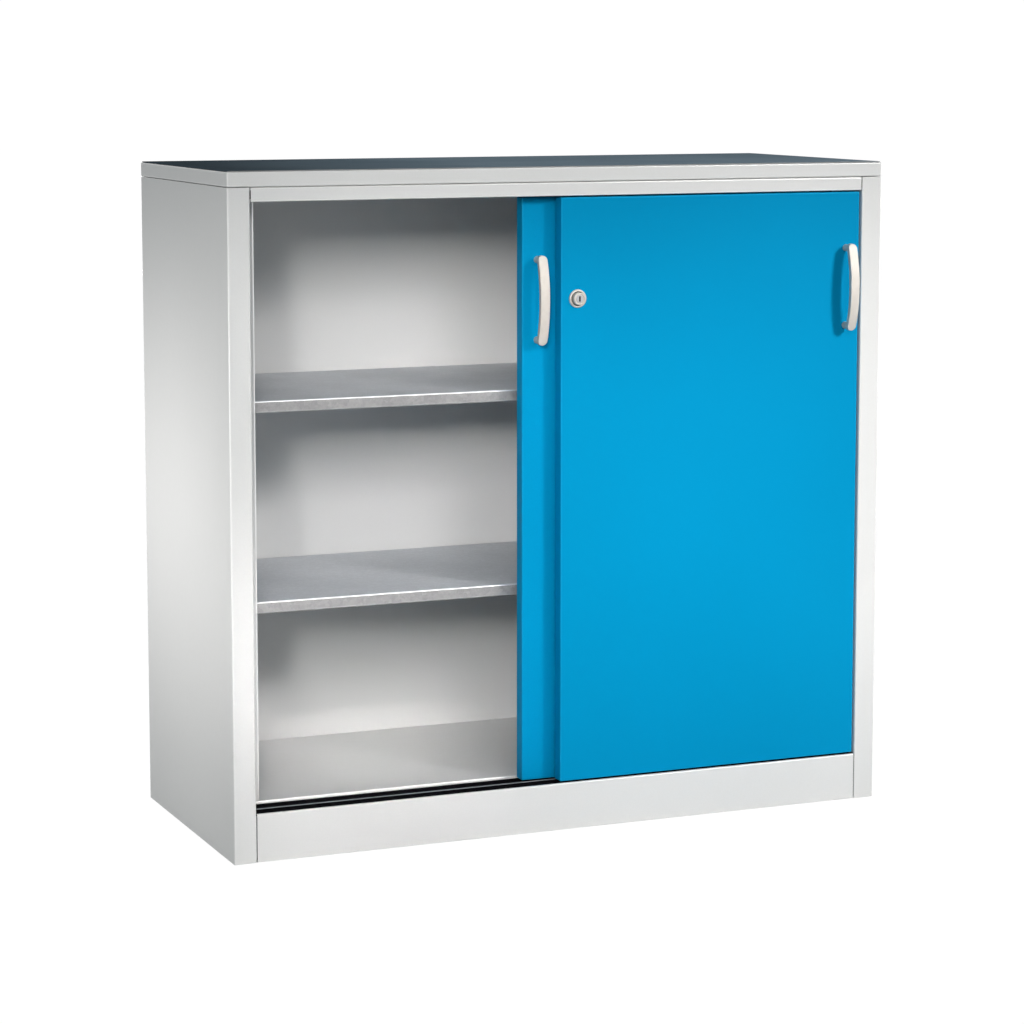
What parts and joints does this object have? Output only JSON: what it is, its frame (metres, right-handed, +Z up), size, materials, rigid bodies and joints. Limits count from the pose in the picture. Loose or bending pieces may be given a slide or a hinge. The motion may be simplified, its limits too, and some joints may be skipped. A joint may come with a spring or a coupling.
{
  "type": "sliding door cabinet",
  "caption": "Free-standing steel cupboard with flush sliding doors on tracks, bow handles, a push lock and adjustable shelves inside.",
  "frame": {"origin": "on the floor, under the middle of the whole object's box, handles included", "axes": "+X to the right along the width, seen from the front; the doors face -Y; +Z up"},
  "size_m": [1.2, 0.5354, 1.14],
  "materials": {
    "grey_paint": "light grey powder coat, fine satin texture",
    "blue_paint": "light blue powder coat, satin",
    "galvanised_steel": "galvanised sheet with a faint spangle",
    "dark_sheet": "dark slate covering sheet, low sheen",
    "black_track": "black extruded plastic, low sheen",
    "satin_nickel": "satin nickel",
    "bright_steel": "bright zinc-plated steel",
    "black_plastic": "black nylon",
    "black_rubber": "soft black rubber"
  },
  "bodies": {
    "cabinet": {"left_side_panel": "grey_paint", "right_side_panel": "grey_paint", "back_panel": "grey_paint", "floor_panel": "grey_paint", "ceiling_panel": "grey_paint", "plinth": "grey_paint", "upper_front_rail": "grey_paint", "top_cover": "grey_paint", "top_covering_sheet": "dark_sheet", "lower_track": "black_track", "upper_track": "black_track", "front_left_upright": "grey_paint", "back_left_upright": "grey_paint", "front_right_upright": "grey_paint", "back_right_upright": "grey_paint", "lower_front_left_clip": "bright_steel", "upper_front_left_clip": "bright_steel", "lower_back_left_clip": "bright_steel", "upper_back_left_clip": "bright_steel", "lower_front_right_clip": "bright_steel", "upper_front_right_clip": "bright_steel", "lower_back_right_clip": "bright_steel", "upper_back_right_clip": "bright_steel", "lower_shelf": "galvanised_steel", "upper_shelf": "galvanised_steel", "left_upper_buffer": "black_rubber", "left_lower_buffer": "black_rubber", "right_upper_buffer": "black_rubber", "right_lower_buffer": "black_rubber", "rear_door_stop": "black_rubber"},
    "front_door": {"front_door_pan": "blue_paint", "front_door_stiffener": "galvanised_steel", "front_door_handle": "satin_nickel", "front_handle_upper_screw": "bright_steel", "front_handle_lower_screw": "bright_steel", "front_door_left_axle": "bright_steel", "front_door_left_bracket": "galvanised_steel", "front_door_left_guide": "black_plastic", "front_door_right_axle": "bright_steel", "front_door_right_bracket": "galvanised_steel", "front_door_right_guide": "black_plastic", "lock_housing": "satin_nickel", "lock_nut": "galvanised_steel"},
    "rear_door": {"rear_door_pan": "blue_paint", "rear_door_stiffener": "galvanised_steel", "rear_door_handle": "satin_nickel", "rear_handle_upper_screw": "bright_steel", "rear_handle_lower_screw": "bright_steel", "rear_door_left_axle": "bright_steel", "rear_door_left_bracket": "galvanised_steel", "rear_door_left_guide": "black_plastic", "rear_door_right_axle": "bright_steel", "rear_door_right_bracket": "galvanised_steel", "rear_door_right_guide": "black_plastic"},
    "front_left_roller": {"front_door_left_roller": "black_plastic"},
    "front_right_roller": {"front_door_right_roller": "black_plastic"},
    "rear_left_roller": {"rear_door_left_roller": "black_plastic"},
    "rear_right_roller": {"rear_door_right_roller": "black_plastic"},
    "push_cylinder": {"lock_cylinder": "satin_nickel"},
    "key_plug": {"lock_plug": "bright_steel"}
  },
  "joints": [
    {"name": "rear_door_slide", "type": "slide", "parent": "cabinet", "child": "rear_door", "axis": [1, 0, 0], "range_m": [-0.4866, 0]},
    {"name": "front_door_slide", "type": "slide", "parent": "cabinet", "child": "front_door", "axis": [1, 0, 0], "range_m": [-0.02, 0]},
    {"name": "front_left_roller_turn", "type": "hinge", "parent": "front_door", "child": "front_left_roller", "pos_m": [0.0565, -0.21105, 0.0928], "axis": [0, 1, 0], "range_deg": [-106, 0]},
    {"name": "front_right_roller_turn", "type": "hinge", "parent": "front_door", "child": "front_right_roller", "pos_m": [0.488, -0.21105, 0.0928], "axis": [0, 1, 0], "range_deg": [-106, 0]},
    {"name": "rear_left_roller_turn", "type": "hinge", "parent": "rear_door", "child": "rear_left_roller", "pos_m": [-0.0014, -0.17905, 0.0928], "axis": [0, 1, 0], "range_deg": [-2540, 0]},
    {"name": "rear_right_roller_turn", "type": "hinge", "parent": "rear_door", "child": "rear_right_roller", "pos_m": [0.4301, -0.17905, 0.0928], "axis": [0, 1, 0], "range_deg": [-2540, 0]},
    {"name": "lock_push", "type": "slide", "parent": "front_door", "child": "push_cylinder", "axis": [0, 1, 0], "range_m": [0, 0.007], "stiffness_N_per_m": 400},
    {"name": "key_turn", "type": "hinge", "parent": "push_cylinder", "child": "key_plug", "pos_m": [0.0165, -0.22975, 0.9165], "axis": [0, 1, 0], "range_deg": [0, 90]}
  ],
  "couplings": [
    {"joint": "front_left_roller_turn", "follows": "front_door_slide", "rad_per_m": 90.909},
    {"joint": "front_right_roller_turn", "follows": "front_door_slide", "rad_per_m": 90.909},
    {"joint": "rear_left_roller_turn", "follows": "rear_door_slide", "rad_per_m": 90.909},
    {"joint": "rear_right_roller_turn", "follows": "rear_door_slide", "rad_per_m": 90.909}
  ]
}
